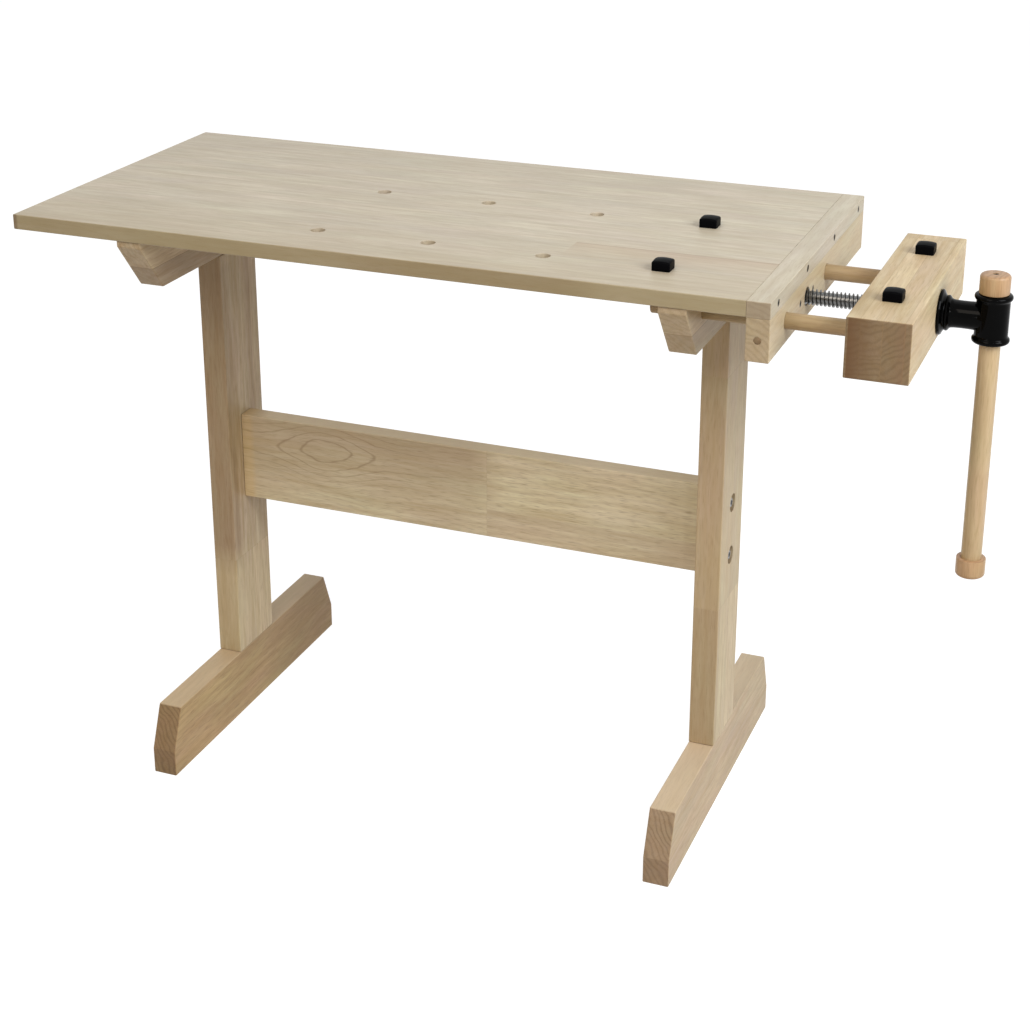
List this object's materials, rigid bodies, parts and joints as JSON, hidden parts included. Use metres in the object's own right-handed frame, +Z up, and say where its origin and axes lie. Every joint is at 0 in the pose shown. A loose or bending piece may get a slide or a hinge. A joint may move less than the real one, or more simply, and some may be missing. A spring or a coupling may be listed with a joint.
{
  "type": "woodworking bench with end vise",
  "caption": "Hobby woodworking bench with a glued-up wooden top, rows of dog holes, I-shaped leg frames tied by a stretcher, and an end vise with a wooden jaw on guide rods.",
  "frame": {"origin": "on the floor, under the middle of the overall length and depth", "axes": "+X along the bench towards the vise, +Y from front to back, +Z up"},
  "size_m": [1.262, 0.5, 0.8193],
  "materials": {
    "top_wood": "pale hardwood staves, lightly oiled",
    "frame_wood": "pale hardwood, planed and lightly oiled",
    "jaw_wood": "pale hardwood, lightly oiled",
    "turned_wood": "turned hardwood, smooth",
    "bright_steel": "zinc-plated or plain steel",
    "dark_steel": "darkened steel",
    "black_iron": "gloss black enamel",
    "black_plastic": "satin black moulding"
  },
  "bodies": {
    "bench": {"bench_top": "top_wood", "end_cap": "top_wood", "left_foot": "frame_wood", "left_post": "frame_wood", "left_bearer": "frame_wood", "right_foot": "frame_wood", "right_post": "frame_wood", "right_bearer": "frame_wood", "stretcher": "frame_wood", "vise_apron": "frame_wood", "apron_plug": "turned_wood", "left_foot_dowel_1": "turned_wood", "left_foot_dowel_2": "turned_wood", "left_bearer_dowel_1": "turned_wood", "left_bearer_dowel_2": "turned_wood", "right_foot_dowel_1": "turned_wood", "right_foot_dowel_2": "turned_wood", "right_bearer_dowel_1": "turned_wood", "right_bearer_dowel_2": "turned_wood", "end_cap_screw_1": "dark_steel", "end_cap_screw_2": "dark_steel", "end_cap_screw_3": "dark_steel", "end_cap_screw_4": "dark_steel", "top_screw_left_front": "dark_steel", "top_screw_left_rear": "dark_steel", "top_screw_right_front": "dark_steel", "top_screw_right_rear": "dark_steel", "stretcher_bolt_left_upper": "bright_steel", "stretcher_bolt_left_lower": "bright_steel", "stretcher_bolt_right_upper": "bright_steel", "stretcher_bolt_right_lower": "bright_steel", "bolt_washer_left_upper": "bright_steel", "bolt_washer_left_lower": "bright_steel", "bolt_washer_right_upper": "bright_steel", "bolt_washer_right_lower": "bright_steel", "barrel_nut_left_upper": "bright_steel", "barrel_nut_left_lower": "bright_steel", "barrel_nut_right_upper": "bright_steel", "barrel_nut_right_lower": "bright_steel", "vise_nut": "dark_steel", "nut_screw_1": "dark_steel", "nut_screw_2": "dark_steel"},
    "jaw": {"vise_jaw": "jaw_wood", "guide_rod_front": "turned_wood", "guide_rod_rear": "turned_wood"},
    "screw": {"vise_screw": "bright_steel", "handle_hub": "black_iron", "hub_pin": "bright_steel", "retaining_collar": "dark_steel"},
    "handle": {"handle_bar": "turned_wood", "handle_knob_top": "turned_wood", "handle_knob_bottom": "turned_wood", "knob_screw_top": "dark_steel", "knob_screw_bottom": "dark_steel"},
    "bench_dog_front": {"bench_dog_front": "black_plastic"},
    "bench_dog_rear": {"bench_dog_rear": "black_plastic"},
    "jaw_dog_front": {"jaw_dog_front": "black_plastic"},
    "jaw_dog_rear": {"jaw_dog_rear": "black_plastic"}
  },
  "joints": [
    {"name": "screw_turn", "type": "hinge", "parent": "jaw", "child": "screw", "pos_m": [0.5465, -0.07, 0.76], "axis": [1, 0, 0], "range_deg": [-6120, 4320]},
    {"name": "jaw_slide", "type": "slide", "parent": "bench", "child": "jaw", "axis": [1, 0, 0], "range_m": [-0.0852, 0.0602]},
    {"name": "handle_slide", "type": "slide", "parent": "screw", "child": "handle", "axis": [0, 0, 1], "range_m": [0, 0.28]},
    {"name": "bench_dog_front_lift", "type": "slide", "parent": "bench", "child": "bench_dog_front", "axis": [0, 0, 1], "range_m": [0, 0.04]},
    {"name": "bench_dog_rear_lift", "type": "slide", "parent": "bench", "child": "bench_dog_rear", "axis": [0, 0, 1], "range_m": [0, 0.04]},
    {"name": "jaw_dog_front_lift", "type": "slide", "parent": "jaw", "child": "jaw_dog_front", "axis": [0, 0, 1], "range_m": [0, 0.04]},
    {"name": "jaw_dog_rear_lift", "type": "slide", "parent": "jaw", "child": "jaw_dog_rear", "axis": [0, 0, 1], "range_m": [0, 0.04]}
  ],
  "couplings": [
    {"joint": "jaw_slide", "follows": "screw_turn", "m_per_rad": 0.00079577}
  ]
}
